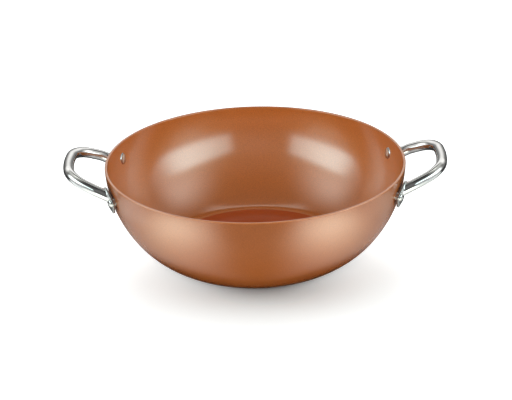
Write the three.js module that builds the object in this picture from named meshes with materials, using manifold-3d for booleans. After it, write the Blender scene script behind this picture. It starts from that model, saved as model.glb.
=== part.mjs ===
// Stir-fry pan: a deep pressed aluminium bowl with a copper-coloured coat and a steel disc set in its base.
// On each side a bent steel tube makes a loop handle. Each tube end is welded to a bracket plate, and one
// rivet holds each plate to the wall.
// Millimetres, +Z up, handles along X. The origin is the centre of the base, on the surface below the pan.
import * as THREE from "three";
import { mergeVertices } from "three/addons/utils/BufferGeometryUtils.js";
import Module from "manifold-3d";

const wasm = await Module();
wasm.setup();
const { degToRad } = THREE.MathUtils;

// Bowl: the wall is one smooth curve from the edge of the base to the rim
const rimRadius = 150;
const bowlHeight = 97.5;
const baseRadius = 88.9;
const wallThickness = 2.7;
const floorThickness = 4.9;
const rimLean = degToRad(2.2); // the wall's angle from upright at the rim
const baseFlare = degToRad(65.8); // the wall's angle from upright where it leaves the base
const rimPull = 42.2; // how far each end's direction is felt along the wall
const basePull = 38.4;
const rimRounding = 0.9;
const lipShare = 0.4; // of the wall's thickness, the most that one rounding takes

// Disc set in the base
const discMargin = 13.9; // bare ring of base left around the disc
const discThickness = 1;
const discBevel = 0.3;

// Rivets: one through each bracket, placed on the outer wall
const rivetDrop = 17.2; // below the rim
const rivetSpacing = 109; // between the two rivets of one handle
const shankRadius = 2.5;
const innerHeadRadius = 6;
const innerHeadHeight = 1.5;
const outerHeadRadius = 4.3;
const outerHeadHeight = 3;

// Brackets: a flat plate that stands off the wall on a collar round its rivet. The plate is drawn round four
// corners, placed from the rivet: across is away from the middle of the handle, and rise is up the wall.
const bracketThickness = 2.2;
const bracketStandoff = 1.6;
const rivetLand = 1.4; // metal left beside the rivet's hole
const collarWall = 0.9; // around the same hole
const weldMargin = 0.6; // metal left around the welded tube
const shoulderAcross = 0.8;
const shoulderRise = 0.6;
const tipAcross = -3.5;
const tipRise = -10.5;
const tipRounding = 2.5;
const heelAcross = -12.5;
const heelRise = -7.5;
const heelRounding = 3.5;

// Handle tubes: a foot on the bracket, a knee, and two corners joined by the bowed grip
const tubeRadius = 5.35;
const tubeWall = 1.2;
const footClearance = 1.55; // between the tube's foot and the rivet's outer head
const footRise = 4.2; // above the rivet, along the plate
const kneeRun = 4.3; // from the foot to the knee, towards the middle of the handle
const kneeRise = 6.4;
const kneeReach = 7.8;
const kneeRadius = 20;
const gripReach = 41; // from the rim to the outer side of the grip
const gripRise = 1.6; // the middle of the tube above the rim
const gripWidth = 73.2; // between the two corners of the loop
const cornerRadius = 29;
const gripBow = 3.5; // the middle of the grip stands out from its corners
const bowRadius = 130;

// Fits
const seatGap = 0.3; // between pieces that are seated on each other
const holeClearance = 0.3; // around a rivet's shank

// Fineness of the round surfaces
const bowlSides = 64;
const wallSteps = 12;
const lipSteps = 3;
const headSides = 20;
const headSteps = 4;
const tubeSteps = 36;
const tubeHalfSides = 7; // half the flats around the tube
const outlineSteps = 5;
const weldTolerance = 1e-4;

// Sizes that follow from those above
const holeRadius = shankRadius + holeClearance;
const discRadius = baseRadius - discMargin;
const recessDepth = discThickness + seatGap;
const recessRadius = discRadius + seatGap;
const lipRounding = Math.min(rimRounding, lipShare * wallThickness);
const collarRadius = holeRadius + collarWall;
const bracketFace = seatGap + bracketStandoff + bracketThickness; // the plate's outer face, from the wall
const footAcross = -(outerHeadRadius + footClearance + tubeRadius);
const footHeight = bracketFace + seatGap;

// Materials
const copperCoat = new THREE.MeshStandardMaterial({ color: 0xb5683a, roughness: 0.32, metalness: 0.85 });
const polishedSteel = new THREE.MeshStandardMaterial({ color: 0xd6d7d8, roughness: 0.12, metalness: 1 });
const stampedSteel = new THREE.MeshStandardMaterial({ color: 0xc4c5c6, roughness: 0.25, metalness: 1 });
const rivetSteel = new THREE.MeshStandardMaterial({ color: 0xcbcbca, roughness: 0.2, metalness: 1 });
const spunSteel = new THREE.MeshStandardMaterial({ color: 0xb4b4b3, roughness: 0.35, metalness: 1 });

// A closed geometry as a solid that can be joined and cut
function solidFrom(geometry) {
  const bare = geometry.clone();
  bare.deleteAttribute("normal");
  bare.deleteAttribute("uv");
  const merged = mergeVertices(bare, weldTolerance);
  const corners = [];
  for (let first = 0; first < merged.index.count; first += 3) {
    const [a, b, c] = merged.index.array.slice(first, first + 3);
    if (a !== b && b !== c && c !== a) corners.push(a, b, c);
  }
  const vertProperties = Float32Array.from(merged.attributes.position.array);
  const triVerts = Uint32Array.from(corners);
  return new wasm.Manifold(new wasm.Mesh({ numProp: 3, vertProperties, triVerts }));
}

function meshFrom(name, solid, material) {
  const { vertProperties, triVerts } = solid.getMesh();
  const geometry = new THREE.BufferGeometry();
  geometry.setAttribute("position", new THREE.BufferAttribute(vertProperties, 3));
  geometry.setIndex(new THREE.BufferAttribute(triVerts, 1));
  geometry.computeVertexNormals();
  const mesh = new THREE.Mesh(geometry, material);
  mesh.name = name;
  return mesh;
}

// A profile of points (radius, height) turned around the Z axis
function turned(profile, sides) {
  return new THREE.LatheGeometry(profile, sides).rotateX(Math.PI / 2);
}

// Wall: the outer side as a curve of (radius, height), from the base up to the rim
const baseEdge = new THREE.Vector2(baseRadius, 0);
const rimEdge = new THREE.Vector2(rimRadius, bowlHeight);
const leaveBase = new THREE.Vector2(Math.sin(baseFlare), Math.cos(baseFlare));
const reachRim = new THREE.Vector2(Math.sin(rimLean), Math.cos(rimLean));
const wall = new THREE.CubicBezierCurve(
  baseEdge,
  baseEdge.clone().addScaledVector(leaveBase, basePull),
  rimEdge.clone().addScaledVector(reachRim, -rimPull),
  rimEdge,
);

// A point at a depth inside the wall's outer side, or outside it where the depth is below zero
function wallPoint(along, depth) {
  const tangent = wall.getTangent(along);
  const inward = new THREE.Vector2(-tangent.y, tangent.x);
  return wall.getPoint(along).addScaledVector(inward, depth);
}

// How far along the wall the surface at a depth reaches a height
function alongAtHeight(height, depth) {
  const halvings = 40;
  let low = 0;
  let high = 1;
  for (let count = 0; count < halvings; count += 1) {
    const middle = (low + high) / 2;
    if (wallPoint(middle, depth).y < height) low = middle;
    else high = middle;
  }
  return (low + high) / 2;
}

function wallStretch(from, to, depth) {
  const points = [];
  for (let step = 0; step <= wallSteps; step += 1) {
    points.push(wallPoint(THREE.MathUtils.lerp(from, to, step / wallSteps), depth));
  }
  return points;
}

// Quarter round of the lip, from one angle to another about a centre
function lipRound(centre, fromAngle, toAngle) {
  const points = [];
  for (let step = 1; step < lipSteps; step += 1) {
    const angle = THREE.MathUtils.lerp(fromAngle, toAngle, step / lipSteps);
    const spoke = new THREE.Vector2(Math.cos(angle), Math.sin(angle));
    points.push(spoke.multiplyScalar(lipRounding).add(centre));
  }
  return points;
}

// The bowl's section, from the middle of its underside round the wall to the middle of its floor.
// Growth thickens the wall on both sides, for cutting the pieces that sit on it.
function bowlProfile(growth) {
  const innerDepth = wallThickness + growth;
  const lipStart = alongAtHeight(bowlHeight - lipRounding, -growth);
  const lipEnd = alongAtHeight(bowlHeight - lipRounding, innerDepth);
  const floorEnd = alongAtHeight(floorThickness + growth, innerDepth);
  const outerLip = wallPoint(lipStart, -growth).sub(new THREE.Vector2(lipRounding, 0));
  const innerLip = wallPoint(lipEnd, innerDepth).add(new THREE.Vector2(lipRounding, 0));
  return [
    new THREE.Vector2(0, recessDepth),
    new THREE.Vector2(recessRadius, recessDepth),
    new THREE.Vector2(recessRadius, 0),
    ...wallStretch(0, lipStart, -growth),
    ...lipRound(outerLip, 0, Math.PI / 2),
    new THREE.Vector2(outerLip.x, bowlHeight),
    new THREE.Vector2(innerLip.x, bowlHeight),
    ...lipRound(innerLip, Math.PI / 2, Math.PI),
    ...wallStretch(lipEnd, floorEnd, innerDepth),
    new THREE.Vector2(0, floorThickness + growth),
  ];
}

// Rivet seats: X runs round the bowl, Y up the wall and Z straight out of it, from the rivet's centre
const seatAlong = alongAtHeight(bowlHeight - rivetDrop, 0);
const seatPoint = wall.getPoint(seatAlong);
const seatTangent = wall.getTangent(seatAlong);
const seatAzimuth = Math.asin(rivetSpacing / 2 / seatPoint.x);

function seatFrame(azimuth) {
  const outward = new THREE.Vector3(Math.cos(azimuth), Math.sin(azimuth), 0);
  const upright = new THREE.Vector3(0, 0, 1);
  const round = new THREE.Vector3(-Math.sin(azimuth), Math.cos(azimuth), 0);
  const upWall = outward.clone().multiplyScalar(seatTangent.x).addScaledVector(upright, seatTangent.y);
  const offWall = outward.clone().multiplyScalar(seatTangent.y).addScaledVector(upright, -seatTangent.x);
  const place = outward.multiplyScalar(seatPoint.x).addScaledVector(upright, seatPoint.y);
  return new THREE.Matrix4().makeBasis(round, upWall, offWall).setPosition(place);
}

// A hole for a rivet, through everything at its seat
function rivetHole() {
  const length = 2 * (wallThickness + bracketFace);
  return new THREE.CylinderGeometry(holeRadius, holeRadius, length, headSides).rotateX(Math.PI / 2);
}

// Pan body: the bowl with a hole for each rivet
function panBody() {
  let bowl = solidFrom(turned(bowlProfile(0), bowlSides));
  for (const middle of [0, Math.PI]) {
    for (const azimuth of [middle - seatAzimuth, middle + seatAzimuth]) {
      bowl = bowl.subtract(solidFrom(rivetHole()).transform(seatFrame(azimuth).elements));
    }
  }
  return meshFrom("pan_body", bowl, copperCoat);
}

// Base disc: flush with the underside of the base, its edges eased
function baseDisc() {
  const profile = [
    new THREE.Vector2(0, 0),
    new THREE.Vector2(discRadius - discBevel, 0),
    new THREE.Vector2(discRadius, discBevel),
    new THREE.Vector2(discRadius, discThickness),
    new THREE.Vector2(0, discThickness),
  ];
  return meshFrom("base_disc", solidFrom(turned(profile, bowlSides)), spunSteel);
}

// An outline drawn round a list of circles, in turn anticlockwise, with straight lines between them
function outlineRound(circles) {
  const headings = circles.map((circle, index) => {
    const next = circles[(index + 1) % circles.length];
    const step = next.centre.clone().sub(circle.centre);
    const spread = Math.acos((circle.radius - next.radius) / step.length());
    return Math.atan2(step.y, step.x) - spread;
  });
  const shape = new THREE.Shape();
  circles.forEach(({ centre, radius }, index) => {
    const from = headings[(index + circles.length - 1) % circles.length];
    shape.absarc(centre.x, centre.y, radius, from, headings[index], false);
  });
  return shape;
}

// Bracket: side is 1 at the handle's +Y end and -1 at its -Y end, where the plate is mirrored
function bracket(name, side) {
  const corner = (across, rise, radius) => ({ centre: new THREE.Vector2(across * side, rise), radius });
  const stubLength = Math.hypot(kneeRun, kneeRise, kneeReach);
  const cutSpread = tubeRadius * (stubLength / kneeReach - 1); // a leaning tube's cut end is longer
  const lean = new THREE.Vector2(-kneeRun, kneeRise).setLength(cutSpread);
  const shoulder = corner(shoulderAcross, shoulderRise, holeRadius + rivetLand);
  const weld = corner(footAcross + lean.x, footRise + lean.y, tubeRadius + weldMargin);
  const heel = corner(heelAcross, heelRise, heelRounding);
  const tip = corner(tipAcross, tipRise, tipRounding);
  const round = [shoulder, weld, heel, tip];
  const plate = new THREE.ExtrudeGeometry(outlineRound(side > 0 ? round : round.reverse()), {
    depth: bracketThickness,
    bevelEnabled: false,
    curveSegments: outlineSteps,
  });
  plate.translate(0, 0, seatGap + bracketStandoff);
  const collarLength = bracketStandoff + bracketThickness / 2;
  const collar = new THREE.CylinderGeometry(collarRadius, collarRadius, collarLength, headSides);
  collar.rotateX(Math.PI / 2).translate(0, 0, seatGap + collarLength / 2);
  const pressed = solidFrom(plate).add(solidFrom(collar)).subtract(solidFrom(rivetHole()));
  return meshFrom(name, pressed.transform(seatFrame(seatAzimuth * side).elements), stampedSteel);
}

// Rivet: a shank through the wall and the plate, a low head inside and a domed head outside
function domed(radius, height) {
  const points = [];
  for (let step = 0; step <= headSteps; step += 1) {
    const angle = (step / headSteps) * (Math.PI / 2);
    points.push(new THREE.Vector2(radius * Math.cos(angle), height * Math.sin(angle)));
  }
  return points;
}

function rivet(name, side) {
  const innerSeat = -wallThickness;
  const innerHead = domed(innerHeadRadius, innerHeadHeight + seatGap);
  const innerTop = innerHead.map(({ x, y }) => new THREE.Vector2(x, innerSeat - y)).reverse();
  const outerTop = domed(outerHeadRadius, outerHeadHeight);
  const inside = solidFrom(turned([...innerTop, new THREE.Vector2(0, innerSeat)], headSides));
  const outside = solidFrom(turned([new THREE.Vector2(0, 0), ...outerTop], headSides));
  const shankTop = bracketFace + seatGap + outerHeadHeight / 2;
  const shankBottom = innerSeat - seatGap - innerHeadHeight / 2;
  const shank = new THREE.CylinderGeometry(shankRadius, shankRadius, shankTop - shankBottom, headSides);
  shank.rotateX(Math.PI / 2).translate(0, 0, (shankTop + shankBottom) / 2);
  const frame = seatFrame(seatAzimuth * side);
  const bowlRoom = solidFrom(turned(bowlProfile(seatGap), bowlSides));
  const placed = (solid) => solid.transform(frame.elements);
  const seatedInside = placed(inside).subtract(bowlRoom);
  const seatedOutside = placed(outside.translate([0, 0, bracketFace + seatGap]));
  return meshFrom(name, seatedInside.add(placed(solidFrom(shank))).add(seatedOutside), rivetSteel);
}

// A round bend in a tube's path, between the two straight lines that meet at a corner
class Bend extends THREE.Curve {
  constructor(start, into, out, radius) {
    super();
    this.turn = into.angleTo(out);
    this.axis = into.clone().cross(out).normalize();
    this.spoke = into.clone().cross(this.axis).multiplyScalar(radius);
    this.centre = start.clone().sub(this.spoke);
  }

  getPoint(share, target = new THREE.Vector3()) {
    return target.copy(this.spoke).applyAxisAngle(this.axis, this.turn * share).add(this.centre);
  }
}

// A path of straight lines with a bend at each point between its ends. Where two bends would meet on one
// line, both are drawn in until they share it.
function bentPath(points, radii) {
  const lines = points.slice(1).map((point, index) => point.clone().sub(points[index]));
  const headings = lines.map((line) => line.clone().normalize());
  const halfTurns = radii.map((_, index) => Math.tan(headings[index].angleTo(headings[index + 1]) / 2));
  const wanted = [0, ...radii.map((radius, index) => radius * halfTurns[index]), 0];
  const shares = lines.map((line, index) => {
    return Math.min(1, line.length() / (wanted[index] + wanted[index + 1]));
  });
  const path = new THREE.CurvePath();
  let from = points[0];
  radii.forEach((_, index) => {
    const corner = points[index + 1];
    const reach = wanted[index + 1] * Math.min(shares[index], shares[index + 1]);
    const start = corner.clone().addScaledVector(headings[index], -reach);
    path.add(new THREE.LineCurve3(from, start));
    path.add(new Bend(start, headings[index], headings[index + 1], reach / halfTurns[index]));
    from = corner.clone().addScaledVector(headings[index + 1], reach);
  });
  path.add(new THREE.LineCurve3(from, points[points.length - 1]));
  return path;
}

// Handle tube: swept past both brackets, then cut off square to each plate with a gap for the weld
function handleTube(name) {
  const bowTurn = Math.atan2(gripBow, gripWidth / 2);
  const bowRounding = bowRadius * (1 / Math.cos(bowTurn) - 1); // what the bend takes off the middle point
  const gripX = rimRadius + gripReach - tubeRadius + bowRounding;
  const gripZ = bowlHeight + gripRise;
  const spare = 2 * tubeRadius; // swept past the foot, to be cut off
  const half = (side) => {
    const frame = seatFrame(seatAzimuth * side);
    const foot = new THREE.Vector3(footAcross * side, footRise, footHeight);
    const knee = foot.clone().add(new THREE.Vector3(-kneeRun * side, kneeRise, kneeReach));
    const past = foot.clone().addScaledVector(knee.clone().sub(foot).normalize(), -spare);
    const corner = new THREE.Vector3(gripX - gripBow, (gripWidth / 2) * side, gripZ);
    return [past.applyMatrix4(frame), knee.applyMatrix4(frame), corner];
  };
  const middle = new THREE.Vector3(gripX, 0, gripZ);
  const radii = [kneeRadius, cornerRadius, bowRadius, cornerRadius, kneeRadius];
  const path = bentPath([...half(-1), middle, ...half(1).reverse()], radii);
  const section = new THREE.Shape().absarc(0, 0, tubeRadius, 0, 2 * Math.PI, false);
  section.holes.push(new THREE.Path().absarc(0, 0, tubeRadius - tubeWall, 0, 2 * Math.PI, true));
  const swept = new THREE.ExtrudeGeometry(section, {
    steps: tubeSteps,
    extrudePath: path,
    curveSegments: tubeHalfSides,
  });
  let tube = solidFrom(swept);
  const blockSize = 3 * spare; // takes in the whole cut-off end
  for (const side of [-1, 1]) {
    const block = new THREE.BoxGeometry(blockSize, blockSize, blockSize);
    block.translate(footAcross * side, footRise, footHeight - blockSize / 2);
    tube = tube.subtract(solidFrom(block.applyMatrix4(seatFrame(seatAzimuth * side))));
  }
  return meshFrom(name, tube, polishedSteel);
}

// A whole handle, made on the +X side and turned to its place
function handle(sideName, turn, endNames) {
  const group = new THREE.Group();
  group.rotation.z = turn;
  group.add(handleTube(`${sideName}_handle_tube`));
  endNames.forEach((endName, index) => {
    const side = index === 0 ? -1 : 1;
    group.add(bracket(`${sideName}_${endName}_bracket`, side));
    group.add(rivet(`${sideName}_${endName}_rivet`, side));
  });
  return group;
}

const pan = new THREE.Group();
pan.add(panBody());
pan.add(baseDisc());
pan.add(handle("right", 0, ["front", "rear"]));
pan.add(handle("left", Math.PI, ["rear", "front"]));

export default pan;
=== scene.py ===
import math

import bpy
from mathutils import Matrix, Vector


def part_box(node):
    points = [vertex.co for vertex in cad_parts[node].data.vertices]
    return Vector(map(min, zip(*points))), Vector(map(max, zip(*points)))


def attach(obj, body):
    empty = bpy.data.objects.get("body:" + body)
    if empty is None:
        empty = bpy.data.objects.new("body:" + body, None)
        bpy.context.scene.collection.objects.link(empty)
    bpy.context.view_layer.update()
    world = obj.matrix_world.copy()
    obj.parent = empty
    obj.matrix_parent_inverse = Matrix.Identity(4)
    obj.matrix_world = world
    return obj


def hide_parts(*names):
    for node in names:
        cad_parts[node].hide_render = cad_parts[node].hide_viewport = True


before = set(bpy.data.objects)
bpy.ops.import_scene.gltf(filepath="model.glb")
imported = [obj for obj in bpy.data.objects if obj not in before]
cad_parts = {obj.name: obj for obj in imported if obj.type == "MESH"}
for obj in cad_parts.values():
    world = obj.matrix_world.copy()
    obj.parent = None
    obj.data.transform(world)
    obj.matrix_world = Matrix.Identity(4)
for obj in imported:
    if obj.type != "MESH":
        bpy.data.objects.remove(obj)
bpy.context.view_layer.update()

# Pan body
# A deep bowl pressed from one aluminium blank, with a flat base and a wall that curves up to a plain rim.
# Its copper-coloured coat is satin outside and glossy inside. On the flat of the floor a darker, redder copy
# of the inside coat, with weaker gloss, is painted shade.
# Four holes in the wall take the rivets.
mm = 0.001
bowl_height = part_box("pan_body")[1].z
rim_radius = 150 * mm
base_radius = 88.9 * mm
wall_thickness = 2.7 * mm
floor_thickness = 4.9 * mm
rim_lean = math.radians(2.2)
base_flare = math.radians(65.8)
rim_pull = 42.2 * mm
base_pull = 38.4 * mm
rim_rounding = 0.9 * mm
floor_rounding = 14 * mm
floor_margin = 2 * mm
base_rounding = 4 * mm
recess_radius = 75.3 * mm
recess_depth = 1.3 * mm
recess_rounding = 0.4 * mm
rivet_drop = 17.2 * mm
rivet_spacing = 109 * mm
hole_radius = 2.6 * mm
hole_sides = 48
drill_length = 6 * wall_thickness
bowl_sides = 256
wall_steps = 48
corner_steps = 6
bowl_crease = 40

wall_knots = [
    Vector((base_radius, 0)),
    Vector((base_radius + base_pull * math.sin(base_flare), base_pull * math.cos(base_flare))),
    Vector((rim_radius - rim_pull * math.sin(rim_lean), bowl_height - rim_pull * math.cos(rim_lean))),
    Vector((rim_radius, bowl_height)),
]


def wall_at(along):
    """Place and direction of the wall's outer side, from 0 at the base to 1 at the rim."""
    back = 1 - along
    start, leave, reach, end = wall_knots
    place = back**3 * start + 3 * back**2 * along * leave + 3 * back * along**2 * reach + along**3 * end
    heading = back**2 * (leave - start) + 2 * back * along * (reach - leave) + along**2 * (end - reach)
    return place, heading.normalized()


def wall_point(along, depth):
    """A point (radius, height) at a depth inside the wall's outer side."""
    place, heading = wall_at(along)
    return place + depth * Vector((-heading.y, heading.x))


def along_at(height, depth):
    """How far along the wall the surface at a depth reaches a height, found by halving the way."""
    halvings = 40
    low, high = 0.0, 1.0
    for _ in range(halvings):
        middle = (low + high) / 2
        if wall_point(middle, depth).y < height:
            low = middle
        else:
            high = middle
    return low


def rounded(before, corner, after, radius):
    """Points of an arc that rounds a corner between two straight lines."""
    to_before = (before - corner).normalized()
    to_after = (after - corner).normalized()
    half = to_before.angle(to_after) / 2
    centre = corner + (to_before + to_after).normalized() * radius / math.sin(half)
    first = corner + to_before * radius / math.tan(half) - centre
    last = corner + to_after * radius / math.tan(half) - centre
    return [centre + radius * first.slerp(last, step / corner_steps) for step in range(corner_steps + 1)]


def turn_section(name, section, sides):
    """Draws a section of (radius, height) points as a line of edges and spins it round the Z axis."""
    merge_distance = 0.001 * mm
    bpy.ops.object.select_all(action="DESELECT")
    bpy.ops.mesh.primitive_plane_add(size=mm)
    piece = bpy.context.object
    piece.name = name
    bpy.ops.object.mode_set(mode="EDIT")
    bpy.ops.mesh.merge(type="CENTER")
    here = Vector((section[0].x, 0, section[0].y))
    bpy.ops.transform.translate(value=here)
    for point in section[1:]:
        there = Vector((point.x, 0, point.y))
        bpy.ops.mesh.extrude_region_move(TRANSFORM_OT_translate={"value": there - here})
        here = there
    bpy.ops.mesh.select_all(action="SELECT")
    bpy.ops.mesh.spin(steps=sides, angle=2 * math.pi, center=(0, 0, 0), axis=(0, 0, 1))
    bpy.ops.mesh.select_all(action="SELECT")
    bpy.ops.mesh.remove_doubles(threshold=merge_distance)
    bpy.ops.mesh.normals_make_consistent(inside=False)
    bpy.ops.object.mode_set(mode="OBJECT")
    return piece


def drill(length):
    """A round tool for a rivet hole, upright on the origin."""
    bpy.ops.object.select_all(action="DESELECT")
    bpy.ops.mesh.primitive_cylinder_add(vertices=hole_sides, radius=hole_radius, depth=length)
    return bpy.context.object


def apply_tool(piece, tool, operation):
    """Cuts a tool out of a piece, or joins the tool to it, and removes the tool."""
    change = piece.modifiers.new("change", "BOOLEAN")
    change.operation = operation
    change.solver = "EXACT"
    change.object = tool
    bpy.context.view_layer.objects.active = piece
    bpy.ops.object.modifier_apply(modifier=change.name)
    bpy.data.objects.remove(tool)


def smooth_by_angle(piece, crease):
    """Shades a piece smooth, apart from edges that turn by more than a crease in degrees."""
    bpy.ops.object.select_all(action="DESELECT")
    piece.select_set(True)
    bpy.context.view_layer.objects.active = piece
    bpy.ops.object.shade_smooth_by_angle(angle=math.radians(crease))


lip_height = bowl_height - 2 * rim_rounding
outer_top = Vector((wall_point(1, 0).x, bowl_height))
inner_top = Vector((wall_point(1, wall_thickness).x, bowl_height))
outer_lip = along_at(lip_height, 0)
inner_lip = along_at(lip_height, wall_thickness)
floor_corner = wall_point(along_at(floor_thickness, wall_thickness), wall_thickness)
floor_clear = along_at(floor_thickness + floor_margin, wall_thickness)
floor_middle = Vector((0, floor_thickness))
base_clear = 0.03
base_edge = Vector((base_radius, 0))
recess_foot = Vector((recess_radius, 0))
recess_corner = Vector((recess_radius, recess_depth))

section = [Vector((0, recess_depth)), recess_corner]
section += rounded(recess_corner, recess_foot, base_edge, recess_rounding)
section += rounded(recess_foot, base_edge, wall_point(base_clear, 0), base_rounding)
for step in range(wall_steps + 1):
    section.append(wall_point(base_clear + (outer_lip - base_clear) * step / wall_steps, 0))
section += rounded(wall_point(outer_lip, 0), outer_top, inner_top, rim_rounding)
section += rounded(outer_top, inner_top, wall_point(inner_lip, wall_thickness), rim_rounding)
for step in range(wall_steps + 1):
    section.append(wall_point(inner_lip + (floor_clear - inner_lip) * step / wall_steps, wall_thickness))
section += rounded(wall_point(floor_clear, wall_thickness), floor_corner, floor_middle, floor_rounding)
section.append(floor_middle)
bowl = turn_section("coated_bowl", section, bowl_sides)

seat_along = along_at(bowl_height - rivet_drop, 0)
seat_place, seat_heading = wall_at(seat_along)
seat_azimuth = math.asin(rivet_spacing / 2 / seat_place.x)


def seat_frame(azimuth):
    """Frame of a rivet on the outer wall: X runs round the bowl, Y up the wall and Z straight out of it."""
    outward = Vector((math.cos(azimuth), math.sin(azimuth), 0))
    upright = Vector((0, 0, 1))
    round_wall = upright.cross(outward)
    up_wall = seat_heading.x * outward + seat_heading.y * upright
    off_wall = seat_heading.y * outward - seat_heading.x * upright
    place = seat_place.x * outward + seat_place.y * upright
    return Matrix.Translation(place) @ Matrix((round_wall, up_wall, off_wall)).transposed().to_4x4()


for azimuth in (seat_azimuth, -seat_azimuth, math.pi + seat_azimuth, math.pi - seat_azimuth):
    tool = drill(drill_length)
    tool.matrix_world = seat_frame(azimuth)
    bpy.context.view_layer.update()
    apply_tool(bowl, tool, "DIFFERENCE")
smooth_by_angle(bowl, bowl_crease)

outer_copper = (0.38, 0.098, 0.014)
inner_copper = (0.58, 0.142, 0.018)
# Painted shade: a darker, redder copy of the inside copper for the flat of the floor, which has the same coat
# as the rest of the inside.
floor_painted_shade_copper = (0.52, 0.075, 0.006)
lacquer_gold = (1, 0.92, 0.5, 1)
flake_scale = 1400
flake_detail = 3
flake_edges = (0.3, 0.7)
flake_contrast = 0.2
flake_roughness = (0.38, 0.48)


def coat(name, colour, metal, haze, gloss_index, gloss_roughness):
    """Copper-coloured coat: fine metal flakes in a tinted lacquer, under a clear skin."""
    material = bpy.data.materials.new(name)
    material.use_nodes = True
    nodes, links = material.node_tree.nodes, material.node_tree.links
    surface = nodes["Principled BSDF"]
    surface.inputs["Metallic"].default_value = metal
    surface.inputs["Specular IOR Level"].default_value = haze
    surface.inputs["Specular Tint"].default_value = lacquer_gold
    surface.inputs["Coat Weight"].default_value = 1
    surface.inputs["Coat IOR"].default_value = gloss_index
    surface.inputs["Coat Roughness"].default_value = gloss_roughness
    place = nodes.new("ShaderNodeTexCoord")
    flakes = nodes.new("ShaderNodeTexNoise")
    flakes.inputs["Scale"].default_value = flake_scale
    flakes.inputs["Detail"].default_value = flake_detail
    links.new(place.outputs["Object"], flakes.inputs["Vector"])
    tint = nodes.new("ShaderNodeValToRGB")
    dark_flake, light_flake = tint.color_ramp.elements
    dark_flake.position, light_flake.position = flake_edges
    dark_flake.color = (*[(1 - flake_contrast) * channel for channel in colour], 1)
    light_flake.color = (*[(1 + flake_contrast) * channel for channel in colour], 1)
    links.new(flakes.outputs["Fac"], tint.inputs["Fac"])
    links.new(tint.outputs["Color"], surface.inputs["Base Color"])
    matt = nodes.new("ShaderNodeMapRange")
    matt.inputs["To Min"].default_value, matt.inputs["To Max"].default_value = flake_roughness
    links.new(flakes.outputs["Fac"], matt.inputs["Value"])
    links.new(matt.outputs["Result"], surface.inputs["Roughness"])
    return material


coats = [
    coat("satin_copper_coat", outer_copper, metal=0.05, haze=0, gloss_index=2.1, gloss_roughness=0.27),
    coat("glossy_copper_coat", inner_copper, metal=0, haze=0.95, gloss_index=2.25, gloss_roughness=0.16),
    # The floor's copy of the inside coat, darker, redder and less glossy, is painted shade.
    coat("floor_painted_shade_coat", floor_painted_shade_copper, metal=0, haze=0.1, gloss_index=1.65, gloss_roughness=0.16),
]
outside, inside, inner_floor = range(len(coats))
flat_margin = 0.01 * mm
bowl.data.materials.clear()
for finish in coats:
    bowl.data.materials.append(finish)
for face in bowl.data.polygons:
    if face.normal.z <= 0:
        face.material_index = outside
    elif face.center.z < floor_thickness + flat_margin:
        face.material_index = inner_floor
    else:
        face.material_index = inside
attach(bowl, "root")
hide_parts("pan_body")

# Base disc
# A turned stainless disc, pressed flush into the recess of the base so that the pan heats on any hob. The
# lathe leaves fine rings on its face.
disc_radius = 75 * mm
disc_thickness = 1 * mm
disc_bevel = 0.3 * mm
disc_crease = 30
disc_grey = (0.6, 0.6, 0.59)
section = [
    Vector((0, 0)),
    Vector((disc_radius - disc_bevel, 0)),
    Vector((disc_radius, disc_bevel)),
    Vector((disc_radius, disc_thickness)),
    Vector((0, disc_thickness)),
]
disc = turn_section("spun_disc", section, bowl_sides)
smooth_by_angle(disc, disc_crease)

ring_scale = 250
ring_waver = 1.5
polish_scale = 600
mark_contrast = 0.07
mark_roughness = 0.2


def steel(name, colour, roughness, turned=False):
    """Bare stainless steel, with faint polishing marks or the concentric lines of a lathe."""
    material = bpy.data.materials.new(name)
    material.use_nodes = True
    nodes, links = material.node_tree.nodes, material.node_tree.links
    surface = nodes["Principled BSDF"]
    surface.inputs["Metallic"].default_value = 1
    place = nodes.new("ShaderNodeTexCoord")
    if turned:
        marks = nodes.new("ShaderNodeTexWave")
        marks.wave_type = "RINGS"
        marks.rings_direction = "Z"
        marks.inputs["Scale"].default_value = ring_scale
        marks.inputs["Distortion"].default_value = ring_waver
    else:
        marks = nodes.new("ShaderNodeTexNoise")
        marks.inputs["Scale"].default_value = polish_scale
    links.new(place.outputs["Object"], marks.inputs["Vector"])
    shine = nodes.new("ShaderNodeValToRGB")
    dark_mark, light_mark = shine.color_ramp.elements
    dark_mark.color = (*[(1 - mark_contrast) * channel for channel in colour], 1)
    light_mark.color = (*[(1 + mark_contrast) * channel for channel in colour], 1)
    links.new(marks.outputs["Fac"], shine.inputs["Fac"])
    links.new(shine.outputs["Color"], surface.inputs["Base Color"])
    polish = nodes.new("ShaderNodeMapRange")
    polish.inputs["To Min"].default_value = (1 - mark_roughness) * roughness
    polish.inputs["To Max"].default_value = (1 + mark_roughness) * roughness
    links.new(marks.outputs["Fac"], polish.inputs["Value"])
    links.new(polish.outputs["Result"], surface.inputs["Roughness"])
    return material


disc.data.materials.append(steel("spun_steel", disc_grey, roughness=0.3, turned=True))
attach(disc, "root")
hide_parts("base_disc")

# Bracket plates
# A flat stamped plate stands off the wall on a collar round its rivet. The handle tube is welded to its
# upper corner. All four are alike, mirrored from front to rear.
seat_gap = 0.3 * mm
plate_thickness = 2.2 * mm
plate_standoff = 1.9 * mm
plate_face = plate_standoff + plate_thickness
plate_easing = 0.45 * mm
easing_steps = 4
plate_sides = 64
plate_crease = 35
plate_grey = (0.56, 0.56, 0.56)
flat_angle = math.radians(1)
edge_angle = math.radians(60)
punch_length = 6 * plate_face
collar_radius = 3.7 * mm
collar_length = plate_standoff + plate_thickness / 2
collar_sides = 48
outer_head_clear = 5.85 * mm
tube_radius = 5.35 * mm
foot_across = -(outer_head_clear + tube_radius)
foot_rise = 4.2 * mm
knee_step = Vector((-4.3 * mm, 6.4 * mm, 7.8 * mm))
weld_margin = 0.6 * mm
cut_spread = tube_radius * (knee_step.length / knee_step.z - 1)
weld_lean = knee_step.xy.normalized() * cut_spread
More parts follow.
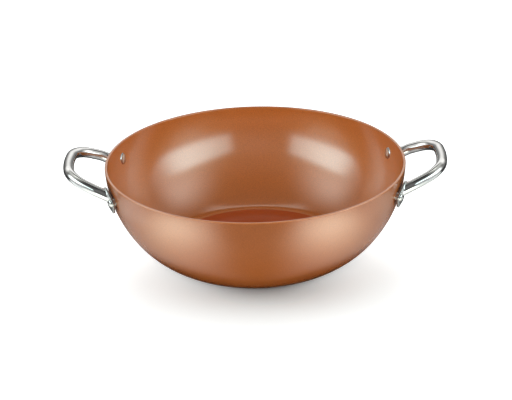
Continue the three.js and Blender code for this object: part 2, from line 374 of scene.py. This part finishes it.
# Each corner is round: how far it lies across and above the rivet, and its radius.
plate_corners = [
    (0.8 * mm, 0.6 * mm, 4.2 * mm),
    (foot_across + weld_lean.x, foot_rise + weld_lean.y, tube_radius + weld_margin),
    (-12.5 * mm, -7.5 * mm, 3.5 * mm),
    (-3.5 * mm, -10.5 * mm, 2.5 * mm),
]


def put(piece, matrix):
    """Places a piece and takes its place into its mesh, with its faces outwards."""
    bpy.ops.object.select_all(action="DESELECT")
    piece.select_set(True)
    bpy.context.view_layer.objects.active = piece
    piece.matrix_world = matrix
    bpy.ops.object.transform_apply(location=True, rotation=True, scale=True)
    bpy.ops.object.mode_set(mode="EDIT")
    bpy.ops.mesh.select_all(action="SELECT")
    bpy.ops.mesh.normals_make_consistent(inside=False)
    bpy.ops.object.mode_set(mode="OBJECT")


def copy_of(piece, name, matrix):
    """A copy of a piece, with a mesh of its own, turned or mirrored to another place."""
    bpy.ops.object.select_all(action="DESELECT")
    piece.select_set(True)
    bpy.context.view_layer.objects.active = piece
    bpy.ops.object.duplicate(linked=False)
    copy = bpy.context.object
    copy.name = name
    put(copy, matrix)
    return copy


mirror_rear = Matrix.Scale(-1, 4, (0, 1, 0))
half_turn = Matrix.Rotation(math.pi, 4, "Z")
places = {
    "right_rear": Matrix.Identity(4),
    "right_front": mirror_rear,
    "left_front": half_turn,
    "left_rear": half_turn @ mirror_rear,
}

bpy.ops.object.select_all(action="DESELECT")
for index, (across, rise, radius) in enumerate(plate_corners):
    centre = (across, rise, plate_standoff + plate_thickness / 2)
    bpy.ops.mesh.primitive_cylinder_add(
        vertices=plate_sides, radius=radius, depth=plate_thickness, location=centre
    )
    if index == 0:
        plate = bpy.context.object
        bpy.ops.object.mode_set(mode="EDIT")
bpy.ops.mesh.select_all(action="SELECT")
bpy.ops.mesh.convex_hull()
bpy.ops.mesh.dissolve_limited(angle_limit=flat_angle)
bpy.ops.mesh.select_mode(type="EDGE")
bpy.ops.mesh.select_all(action="DESELECT")
bpy.ops.mesh.edges_select_sharp(sharpness=edge_angle)
bpy.ops.mesh.bevel(offset=plate_easing, segments=easing_steps, affect="EDGES")
bpy.ops.object.mode_set(mode="OBJECT")
put(plate, plate.matrix_world.copy())

bpy.ops.object.select_all(action="DESELECT")
bpy.ops.mesh.primitive_cylinder_add(
    vertices=collar_sides, radius=collar_radius, depth=collar_length, location=(0, 0, collar_length / 2)
)
apply_tool(plate, bpy.context.object, "UNION")
apply_tool(plate, drill(punch_length), "DIFFERENCE")
put(plate, seat_frame(seat_azimuth))
smooth_by_angle(plate, plate_crease)
plate.data.materials.clear()
plate.data.materials.append(steel("stamped_steel", plate_grey, roughness=0.24))
for place, matrix in places.items():
    piece = copy_of(plate, place + "_plate", matrix)
    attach(piece, "root")
    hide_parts(place + "_bracket")
bpy.data.objects.remove(plate)

# Handle tubes
# A polished stainless tube, bent into a loop: a foot at each bracket, a knee, and two corners joined by
# the slightly bowed grip. Each end is cut to its plate and welded, and the weld is polished to a smooth
# fillet.
grip_reach = 41 * mm
grip_rise = 1.6 * mm
grip_width = 73.2 * mm
grip_bow = 3.5 * mm
bow_radius = 130 * mm
knee_radius = 20 * mm
corner_radius = 29 * mm
weld_leg = 1.6 * mm
weld_flare = 0.2
weld_shift = Vector((0.4 * mm, -0.9 * mm, 0))
tube_sides = 64
bend_steps = 20
weld_steps = 6
tube_crease = 40
tube_silver = (0.82, 0.82, 0.82)

rear_seat = seat_frame(seat_azimuth)
foot = Vector((foot_across, foot_rise, plate_face + seat_gap))
knee = foot + knee_step
past = foot - knee_step
bow_turn = math.atan2(grip_bow, grip_width / 2)
grip_out = rim_radius + grip_reach - tube_radius + bow_radius * (1 / math.cos(bow_turn) - 1)
grip_middle = Vector((grip_out, 0, bowl_height + grip_rise))
grip_corner = Vector((grip_out - grip_bow, grip_width / 2, bowl_height + grip_rise))
rear_half = [grip_corner, rear_seat @ knee, rear_seat @ past]
path = [mirror_rear @ point for point in reversed(rear_half)] + [grip_middle] + rear_half
bends = [knee_radius, corner_radius, bow_radius, corner_radius, knee_radius]

bpy.ops.object.select_all(action="DESELECT")
start_turn = (path[1] - path[0]).to_track_quat("Z", "Y").to_euler()
bpy.ops.mesh.primitive_circle_add(
    vertices=tube_sides, radius=tube_radius, location=path[0], rotation=start_turn
)
tube = bpy.context.object
tube.name = "right_tube"
bpy.ops.object.mode_set(mode="EDIT")
bpy.ops.mesh.select_all(action="SELECT")
here = path[0]
for before, corner, after, radius in zip(path, path[1:], path[2:], bends):
    into = (corner - before).normalized()
    out = (after - corner).normalized()
    turn = into.angle(out)
    reach = radius * math.tan(turn / 2)
    start = corner - into * reach
    axis = into.cross(out).normalized()
    centre = start + axis.cross(into) * radius
    bpy.ops.mesh.extrude_region_move(TRANSFORM_OT_translate={"value": start - here})
    bpy.ops.mesh.spin(steps=bend_steps, angle=turn, center=centre, axis=-axis)
    here = corner + out * reach
bpy.ops.mesh.extrude_region_move(TRANSFORM_OT_translate={"value": path[-1] - here})
bpy.ops.object.mode_set(mode="OBJECT")
put(tube, tube.matrix_world.copy())


def on_axis(height):
    """Point on the tube's axis at a height above the plate."""
    return foot + knee_step * (height - seat_gap) / knee_step.z


bpy.ops.object.mode_set(mode="EDIT")
for side, seat in ((1, rear_seat), (-1, mirror_rear @ rear_seat)):
    bpy.ops.mesh.select_all(action="DESELECT")
    bpy.ops.object.mode_set(mode="OBJECT")
    for vertex in tube.data.vertices:
        vertex.select = vertex.co.y * side > 0
    bpy.ops.object.mode_set(mode="EDIT")
    bpy.ops.mesh.select_mode(type="VERT")
    off_plate = (seat.to_3x3() @ Vector((0, 0, 1))).normalized()
    bpy.ops.mesh.bisect(plane_co=seat @ on_axis(weld_leg), plane_no=off_plate, clear_inner=True)
    here = on_axis(weld_leg)
    flare = 1
    for step in range(1, weld_steps + 1):
        angle = math.pi / 2 * step / weld_steps
        spread = 1 - math.cos(angle)
        there = on_axis(weld_leg * (1 - math.sin(angle))) + weld_shift * spread
        bpy.ops.mesh.extrude_region_move(TRANSFORM_OT_translate={"value": seat @ there - seat @ here})
        growth = (1 + weld_flare * spread) / flare
        bpy.ops.transform.resize(value=(growth, growth, growth), center_override=seat @ there)
        flare *= growth
        here = there
    bpy.ops.mesh.edge_face_add()
bpy.ops.mesh.select_all(action="SELECT")
bpy.ops.mesh.normals_make_consistent(inside=False)
bpy.ops.object.mode_set(mode="OBJECT")
smooth_by_angle(tube, tube_crease)
tube.data.materials.append(steel("polished_steel", tube_silver, roughness=0.05))
other_tube = copy_of(tube, "left_tube", half_turn)
for piece, node in ((tube, "right_handle_tube"), (other_tube, "left_handle_tube")):
    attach(piece, "root")
    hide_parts(node)

# Rivets
# One solid steel rivet through each plate and the wall: a low wide head inside the bowl and a small domed
# head outside, pressed over the plate.
shank_radius = 2.5 * mm
inner_head_radius = 6 * mm
inner_head_height = 1.5 * mm
outer_head_radius = 4.3 * mm
outer_head_height = 3 * mm
head_steps = 10
head_sides = 64
rivet_crease = 40
rivet_grey = (0.66, 0.66, 0.65)

head_angles = [math.pi / 2 * step / head_steps for step in range(head_steps + 1)]
section = []
for angle in head_angles:
    rise = inner_head_height * math.cos(angle)
    section.append(Vector((inner_head_radius * math.sin(angle), -wall_thickness - rise)))
section.append(Vector((shank_radius, -wall_thickness)))
section.append(Vector((shank_radius, plate_face)))
for angle in head_angles:
    rise = outer_head_height * math.sin(angle)
    section.append(Vector((outer_head_radius * math.cos(angle), plate_face + rise)))
rivet = turn_section("rivet", section, head_sides)
put(rivet, seat_frame(seat_azimuth))
smooth_by_angle(rivet, rivet_crease)
rivet.data.materials.append(steel("rivet_steel", rivet_grey, roughness=0.16))
for place, matrix in places.items():
    piece = copy_of(rivet, place + "_rivet_heads", matrix)
    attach(piece, "root")
    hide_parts(place + "_rivet")
bpy.data.objects.remove(rivet)

# Floor
# A wide sheet of white studio paper that keeps the soft shadow of the pan. To the camera it glows to white
# round that shadow, and the glow fades out in an oval just in front of the pan: a painted shadow over the
# real one. In the pan's gloss it glows little, and it is painted dark in soft zones, painted shade in its
# reflections: a wedge towards the camera, a round under the bowl, and the part behind the pan.
floor_size = 12
floor_drop = 0.05 * mm
paper_colour = (0.83, 0.85, 0.865)
paper_roughness = 0.9
darkest_painted_shade = 0.02
wedge_slope = 0.472
wedge_edge = (-0.08, 0.05)
under_edge = (0.105, 0.14)
behind_edge = (-0.02, 0.08)
behind_depth = 0.85
glow_colour = (1, 1, 1, 1)
mirrored_glow = 0.1
painted_shadow_narrowing = (0.65, 1, 1)
painted_shadow_centre = (0.0065, -0.095, 0)
core_edge = (0, 0.07)
core_glow = 0.36
skirt_edge = (0.05, 0.17)
skirt_glow = 0.64


def fade(tree, socket, edge, levels):
    """A level that changes smoothly from the first to the last of two levels across an edge."""
    ramp = tree.nodes.new("ShaderNodeMapRange")
    ramp.interpolation_type = "SMOOTHSTEP"
    ramp.inputs["From Min"].default_value, ramp.inputs["From Max"].default_value = edge
    ramp.inputs["To Min"].default_value, ramp.inputs["To Max"].default_value = levels
    tree.links.new(socket, ramp.inputs["Value"])
    return ramp.outputs["Result"]


def combine(tree, operation, first, second=0):
    """The outcome of one sum on a level and a second level or number."""
    step = tree.nodes.new("ShaderNodeMath")
    step.operation = operation
    tree.links.new(first, step.inputs[0])
    if isinstance(second, (int, float)):
        step.inputs[1].default_value = second
    else:
        tree.links.new(second, step.inputs[1])
    return step.outputs["Value"]


def vector_sum(tree, operation, socket, fixed=(0, 0, 0)):
    """The node of one sum on a place and a fixed vector."""
    step = tree.nodes.new("ShaderNodeVectorMath")
    step.operation = operation
    step.inputs[1].default_value = fixed
    tree.links.new(socket, step.inputs[0])
    return step


bpy.ops.object.select_all(action="DESELECT")
bpy.ops.mesh.primitive_plane_add(size=floor_size, location=(0, 0, -floor_drop))
floor = bpy.context.object
floor.name = "studio_floor"
paper = bpy.data.materials.new("studio_paper")
paper.use_nodes = True
tree = paper.node_tree
surface = tree.nodes["Principled BSDF"]
surface.inputs["Roughness"].default_value = paper_roughness
surface.inputs["Specular IOR Level"].default_value = 0
surface.inputs["Emission Color"].default_value = glow_colour
rays = tree.nodes.new("ShaderNodeLightPath")
mirrored = combine(tree, "MAXIMUM", rays.outputs["Is Glossy Ray"], rays.outputs["Is Transmission Ray"])
spot = tree.nodes.new("ShaderNodeTexCoord").outputs["Object"]
axes = tree.nodes.new("ShaderNodeSeparateXYZ")
tree.links.new(spot, axes.inputs["Vector"])

# Painted dark reflections: seen by glossy rays, the paper's colour falls towards black in a wedge towards the
# camera, a round under the bowl and behind the pan.
aside = combine(tree, "ABSOLUTE", axes.outputs["X"])
off_wedge = combine(tree, "ADD", aside, combine(tree, "MULTIPLY", axes.outputs["Y"], wedge_slope))
wedge = fade(tree, off_wedge, wedge_edge, (1, 0))
under = fade(tree, vector_sum(tree, "LENGTH", spot).outputs["Value"], under_edge, (1, 0))
behind = fade(tree, axes.outputs["Y"], behind_edge, (0, behind_depth))
dark = combine(tree, "MAXIMUM", combine(tree, "MAXIMUM", wedge, under), behind)
shade = combine(tree, "MULTIPLY", mirrored, dark)
painted_dark_paper = tree.nodes.new("ShaderNodeVectorMath")
painted_dark_paper.operation = "SCALE"
painted_dark_paper.inputs[0].default_value = paper_colour
tree.links.new(fade(tree, shade, (0, 1), (1, darkest_painted_shade)), painted_dark_paper.inputs["Scale"])
tree.links.new(painted_dark_paper.outputs["Vector"], surface.inputs["Base Color"])

# Painted shadow: the glow fades to nothing in an oval centred just in front of the pan, widest across it.
narrowed = vector_sum(tree, "MULTIPLY", spot, painted_shadow_narrowing).outputs["Vector"]
off_painted_shadow = vector_sum(tree, "DISTANCE", narrowed, painted_shadow_centre).outputs["Value"]
core = fade(tree, off_painted_shadow, core_edge, (0, core_glow))
skirt = fade(tree, off_painted_shadow, skirt_edge, (0, skirt_glow))
faint = combine(tree, "MULTIPLY", combine(tree, "SUBTRACT", mirrored, shade), mirrored_glow)
seen = combine(tree, "MAXIMUM", rays.outputs["Is Camera Ray"], faint)
glow = combine(tree, "MULTIPLY", seen, combine(tree, "ADD", core, skirt))
tree.links.new(glow, surface.inputs["Emission Strength"])
floor.data.materials.append(paper)

# Studio light
# Two long soft boxes stand at the front left and right. Panels on the floor, strips over the handles and a
# box high at the back show only in the pan's gloss, and three fills light only its colour. The room is dark
# towards the camera and paler at the sides, with a bright sweep behind the pan.
room_tint = (1, 0.99, 0.96, 1)
wall_edge = (0.35, 0.9)
wall_levels = (0.15, 0.85)
rear_edge = (0, 0.4)
rear_levels = (1, 0.25)
ceiling_edge = (0.65, 0.9)
ceiling_levels = (1, 0.4)
sweep_edge = (0.3, 0.8)
sweep_foot_edge = (0.18, 0.44)
sweep_foot_levels = (0.25, 1.1)
sweep_head_edge = (0.6, 0.74)
sweep_head_levels = (1, 0.05)

scene = bpy.context.scene
world = bpy.data.worlds.new("studio_room")
scene.world = world
world.use_nodes = True
tree = world.node_tree
heading = tree.nodes.new("ShaderNodeTexCoord")
axes = tree.nodes.new("ShaderNodeSeparateXYZ")
tree.links.new(heading.outputs["Generated"], axes.inputs["Vector"])
walls = fade(tree, combine(tree, "ABSOLUTE", axes.outputs["X"]), wall_edge, wall_levels)
walls = combine(tree, "MULTIPLY", walls, fade(tree, axes.outputs["Y"], rear_edge, rear_levels))
walls = combine(tree, "MULTIPLY", walls, fade(tree, axes.outputs["Z"], ceiling_edge, ceiling_levels))
sweep_foot = fade(tree, axes.outputs["Z"], sweep_foot_edge, sweep_foot_levels)
sweep_head = fade(tree, axes.outputs["Z"], sweep_head_edge, sweep_head_levels)
sweep = fade(tree, axes.outputs["Y"], sweep_edge, (0, 1))
sweep = combine(tree, "MULTIPLY", sweep, combine(tree, "MULTIPLY", sweep_foot, sweep_head))
surround = tree.nodes["Background"]
surround.inputs["Color"].default_value = room_tint
tree.links.new(combine(tree, "MAXIMUM", walls, sweep), surround.inputs["Strength"])

daylight = (0.8, 1, 0.98)
warm_white = (0.97, 1, 0.78)
pale_white = (0.98, 1, 0.93)
plain_white = (1, 1, 1)


def soft_box(name, place, facing, width, height, level, colour, edges, ends=(1, 1)):
    """A rectangular lamp, with the brightness of its face as its level. It fades over a share of its width at
    each end, and of its height above and below, and its ends may be dimmer than its middle."""
    lamp = bpy.data.lights.new(name, "AREA")
    lamp.shape = "RECTANGLE"
    lamp.size = width
    lamp.size_y = height
    lamp.energy = math.pi * width * height * level
    lamp.color = colour
    lamp.use_nodes = True
    tree = lamp.node_tree
    face = tree.nodes.new("ShaderNodeNewGeometry")
    axes = tree.nodes.new("ShaderNodeSeparateXYZ")
    tree.links.new(face.outputs["Parametric"], axes.inputs["Vector"])
    across, upwards = axes.outputs["X"], axes.outputs["Y"]
    first_end, last_end, rims = edges
    middle = 0.5
    strength = fade(tree, across, (0, first_end), (0, 1))
    for socket, edge, levels in (
        (across, (1 - last_end, 1), (1, 0)),
        (upwards, (0, rims), (0, 1)),
        (upwards, (1 - rims, 1), (1, 0)),
        (across, (0, middle), (ends[0], 1)),
        (across, (middle, 1), (1, ends[1])),
    ):
        strength = combine(tree, "MULTIPLY", strength, fade(tree, socket, edge, levels))
    tree.links.new(strength, tree.nodes["Emission"].inputs["Strength"])
    holder = bpy.data.objects.new(name, lamp)
    scene.collection.objects.link(holder)
    holder.location = place
    holder.rotation_euler = Vector(facing).to_track_quat("-Z", "Y").to_euler()
    holder.visible_camera = False
    return holder


def floor_panel(name, place, turn, width, length, level, colour, edges):
    """A lamp that lies on the floor and shines upwards, turned by degrees about the upright."""
    holder = soft_box(name, place, (0, 0, 1), width, length, level, colour, edges)
    holder.rotation_euler = (math.pi, 0, math.radians(turn))
    return holder


narrow_fade = (0.2, 0.2, 0.2)
full_fade = (0.5, 0.5, 0.5)
# Lamps on the floor lie at different heights, because lamps in one plane lose light where they overlap.
panel_height = 1 * mm
side_panel_height = 2 * mm
fill_height = 3 * mm

soft_box(
    "right_box", place=(0.4535, -0.199, 0.2835), facing=(-0.776, 0.63, 0), width=0.853, height=0.25,
    level=2.35, colour=daylight, edges=(0.08, 0.45, 0.15), ends=(0.6, 1),
)
soft_box(
    "left_box", place=(-0.515, -0.156, 0.301), facing=(0.834, 0.552, 0), width=0.811, height=0.26,
    level=2.4, colour=daylight, edges=(0.4, 0.08, 0.15), ends=(1, 0.6),
)
gloss_lamps = [
    floor_panel(
        "right_panel", place=(0.17, -0.185, panel_height), turn=45, width=0.28, length=0.28,
        level=2.6, colour=warm_white, edges=full_fade,
    ),
    floor_panel(
        "left_panel", place=(-0.183, -0.172, panel_height), turn=-45, width=0.28, length=0.28,
        level=2.45, colour=warm_white, edges=full_fade,
    ),
    floor_panel(
        "right_side_panel", place=(0.29, -0.02, side_panel_height), turn=90, width=0.16, length=0.22,
        level=0.2, colour=warm_white, edges=narrow_fade,
    ),
    floor_panel(
        "left_side_panel", place=(-0.29, -0.02, side_panel_height), turn=-90, width=0.16, length=0.22,
        level=0.45, colour=pale_white, edges=narrow_fade,
    ),
    soft_box(
        "right_strip", place=(0.265, 0.09, 0.345), facing=(-0.6, 0, -0.8), width=0.55, height=0.36,
        level=0.64, colour=pale_white, edges=full_fade,
    ),
    soft_box(
        "left_strip", place=(-0.265, 0.09, 0.345), facing=(0.6, 0, -0.8), width=0.55, height=0.36,
        level=0.66, colour=pale_white, edges=full_fade,
    ),
    soft_box(
        "rear_box", place=(0, 0.35, 1.2), facing=(0, -0.29, -0.96), width=1.2, height=0.3,
        level=0.85, colour=pale_white, edges=narrow_fade,
    ),
]
for lamp in gloss_lamps:
    lamp.visible_diffuse = False
fills = [
    soft_box(
        "ceiling_fill", place=(-0.05, 0.1, 1.3), facing=(0, 0, -1), width=1.4, height=1.4,
        level=0.48, colour=plain_white, edges=narrow_fade,
    ),
    soft_box(
        "front_fill", place=(0, -1.2, 0.6), facing=(0, 0.9, -0.43), width=0.9, height=0.5,
        level=5.4, colour=plain_white, edges=narrow_fade,
    ),
    floor_panel(
        "floor_fill", place=(0, -0.29, fill_height), turn=0, width=0.6, length=0.4,
        level=0.75, colour=plain_white, edges=narrow_fade,
    ),
]
for fill in fills:
    fill.visible_glossy = False

# Camera
# A long lens, a little above the pan and almost straight in front of it, as the photograph was taken. It is
# rolled by about a degree, as the pan stands there.
view_rise = math.radians(23.84)
view_turn = math.radians(0.37)
view_roll = math.radians(-1.36)
view_distance = 2.2671
view_height = 0.0551
focal_length = 158.67
sensor_width = 36
lens = bpy.data.cameras.new("camera")
lens.sensor_width = sensor_width
lens.lens = focal_length
camera = bpy.data.objects.new("camera", lens)
scene.collection.objects.link(camera)
back = Vector((
    math.sin(view_turn) * math.cos(view_rise),
    -math.cos(view_turn) * math.cos(view_rise),
    math.sin(view_rise),
))
camera.location = back * view_distance + Vector((0, 0, view_height))
aim = back.to_track_quat("Z", "Y").to_matrix() @ Matrix.Rotation(view_roll, 3, "Z")
camera.rotation_euler = aim.to_euler()
scene.camera = camera
scene.view_settings.view_transform = "Standard"
